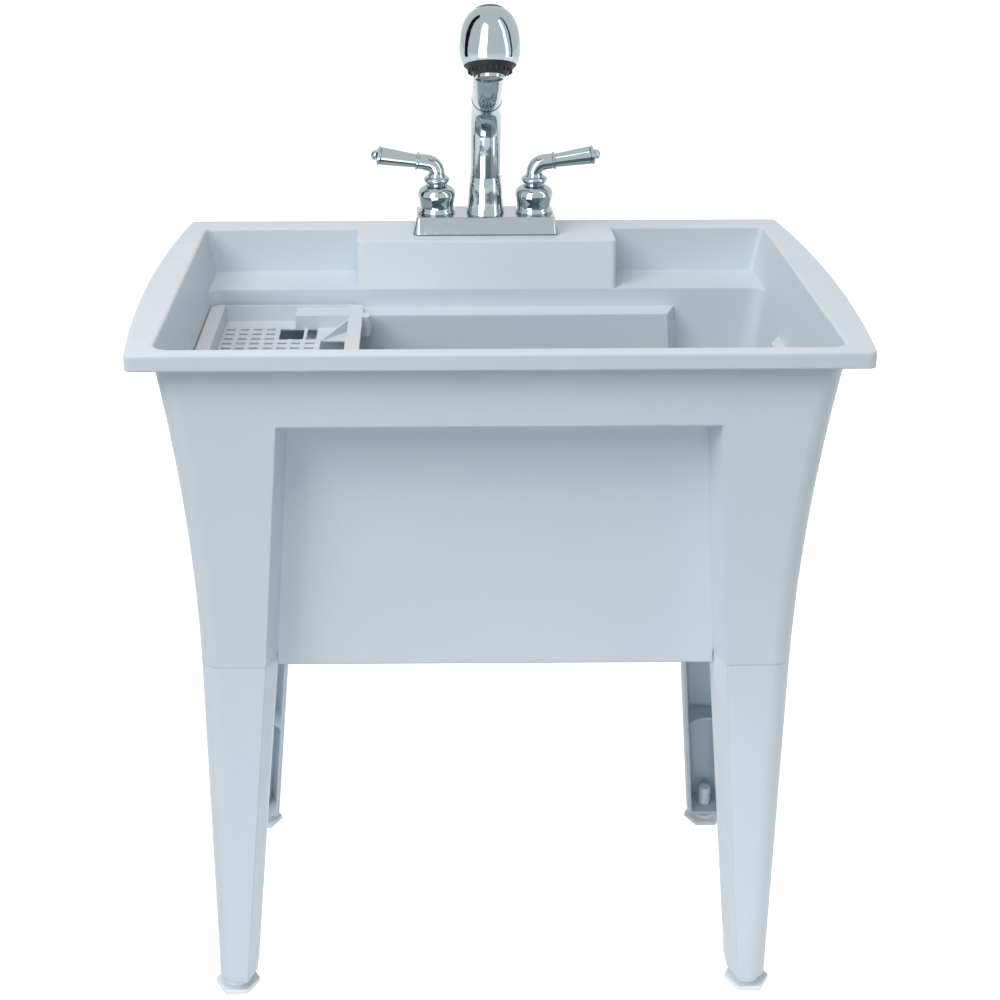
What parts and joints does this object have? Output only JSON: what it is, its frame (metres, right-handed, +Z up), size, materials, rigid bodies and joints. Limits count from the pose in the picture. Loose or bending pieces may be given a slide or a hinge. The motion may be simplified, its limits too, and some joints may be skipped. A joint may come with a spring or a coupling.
{
  "type": "utility laundry sink",
  "caption": "Free-standing moulded laundry sink on tapered legs with levelling feet, a lift-out perforated tray, and a two-lever tap with a swivel spout and pull-out spray.",
  "frame": {"origin": "on the floor under the middle of the rim's width and depth, feet at their lowest face", "axes": "+X to the sink's right as seen from the front, +Y to the wall behind, +Z up"},
  "size_m": [0.841, 0.559, 1.179],
  "materials": {
    "tub_plastic": "satin",
    "leg_plastic": "satin",
    "tray_plastic": "satin",
    "foot_plastic": "satin",
    "drain_plastic": "satin",
    "white_washer": "satin",
    "card_washer": "matte",
    "black_rubber": "matte",
    "button_rubber": "matte",
    "black_plastic": "satin",
    "drain_steel": "brushed",
    "zinc_steel": "bright zinc",
    "brass": "machined",
    "chrome": "polished"
  },
  "bodies": {
    "stand": {"tub": "tub_plastic", "front_left_leg": "leg_plastic", "front_right_leg": "leg_plastic", "back_left_leg": "leg_plastic", "back_right_leg": "leg_plastic", "leg_screws": "zinc_steel", "drain_flange": "drain_steel", "drain_gasket": "black_rubber", "drain_friction_washer": "card_washer", "drain_lock_nut": "drain_plastic", "drain_tailpiece": "drain_plastic", "tailpiece_slip_nut": "drain_plastic", "tailpiece_washer": "white_washer", "tap_base": "chrome", "tap_gasket": "black_rubber", "waterway": "brass", "hot_shank": "brass", "cold_shank": "brass", "mounting_nuts": "drain_plastic", "mounting_washers": "zinc_steel", "hot_cartridge": "brass", "cold_cartridge": "brass", "hot_bonnet": "chrome", "cold_bonnet": "chrome", "spout_base": "chrome", "spout_pivot": "brass", "spout_o_rings": "black_rubber"},
    "front_left_foot": {"front_left_foot": "foot_plastic"},
    "front_right_foot": {"front_right_foot": "foot_plastic"},
    "back_left_foot": {"back_left_foot": "foot_plastic"},
    "back_right_foot": {"back_right_foot": "foot_plastic"},
    "tray": {"wash_tray": "tray_plastic"},
    "stopper": {"drain_stopper": "black_rubber"},
    "hot_lever": {"hot_stem": "brass", "hot_handle": "chrome", "hot_handle_screw": "zinc_steel"},
    "cold_lever": {"cold_stem": "brass", "cold_handle": "chrome", "cold_handle_screw": "zinc_steel"},
    "swivel_spout": {"spout": "chrome", "dock_ring": "black_plastic"},
    "spray_head": {"spray_wand": "chrome", "spray_face": "black_rubber", "aerator": "chrome", "hose_nipple": "brass"},
    "button": {"spray_button": "button_rubber"}
  },
  "joints": [
    {"name": "front_left_foot_levelling", "type": "slide", "parent": "stand", "child": "front_left_foot", "axis": [0, 0, 1], "range_m": [-0.018, 0.004]},
    {"name": "front_right_foot_levelling", "type": "slide", "parent": "stand", "child": "front_right_foot", "axis": [0, 0, 1], "range_m": [-0.018, 0.004]},
    {"name": "back_left_foot_levelling", "type": "slide", "parent": "stand", "child": "back_left_foot", "axis": [0, 0, 1], "range_m": [-0.018, 0.004]},
    {"name": "back_right_foot_levelling", "type": "slide", "parent": "stand", "child": "back_right_foot", "axis": [0, 0, 1], "range_m": [-0.018, 0.004]},
    {"name": "tray_lift", "type": "slide", "parent": "stand", "child": "tray", "axis": [0, 0, 1], "range_m": [0, 0.25]},
    {"name": "stopper_lift", "type": "slide", "parent": "stand", "child": "stopper", "axis": [0, 0, 1], "range_m": [0, 0.4]},
    {"name": "hot_lever_turn", "type": "hinge", "parent": "stand", "child": "hot_lever", "pos_m": [-0.0655, 0.2325, 0.92], "axis": [0, 0, 1], "range_deg": [0, 90]},
    {"name": "cold_lever_turn", "type": "hinge", "parent": "stand", "child": "cold_lever", "pos_m": [0.0655, 0.2325, 0.92], "axis": [0, 0, -1], "range_deg": [0, 90]},
    {"name": "spout_swivel", "type": "hinge", "parent": "stand", "child": "swivel_spout", "pos_m": [0, 0.2325, 0.94], "axis": [0, 0, 1], "range_deg": [-60, 60]},
    {"name": "spray_pull_out", "type": "slide", "parent": "swivel_spout", "child": "spray_head", "axis": [0, -0.766, 0.6428], "range_m": [0, 0.25]},
    {"name": "spray_button_press", "type": "slide", "parent": "spray_head", "child": "button", "axis": [0, -0.3907, -0.9205], "range_m": [0, 0.003], "stiffness_N_per_m": 1200, "springref_m": -0.001}
  ]
}
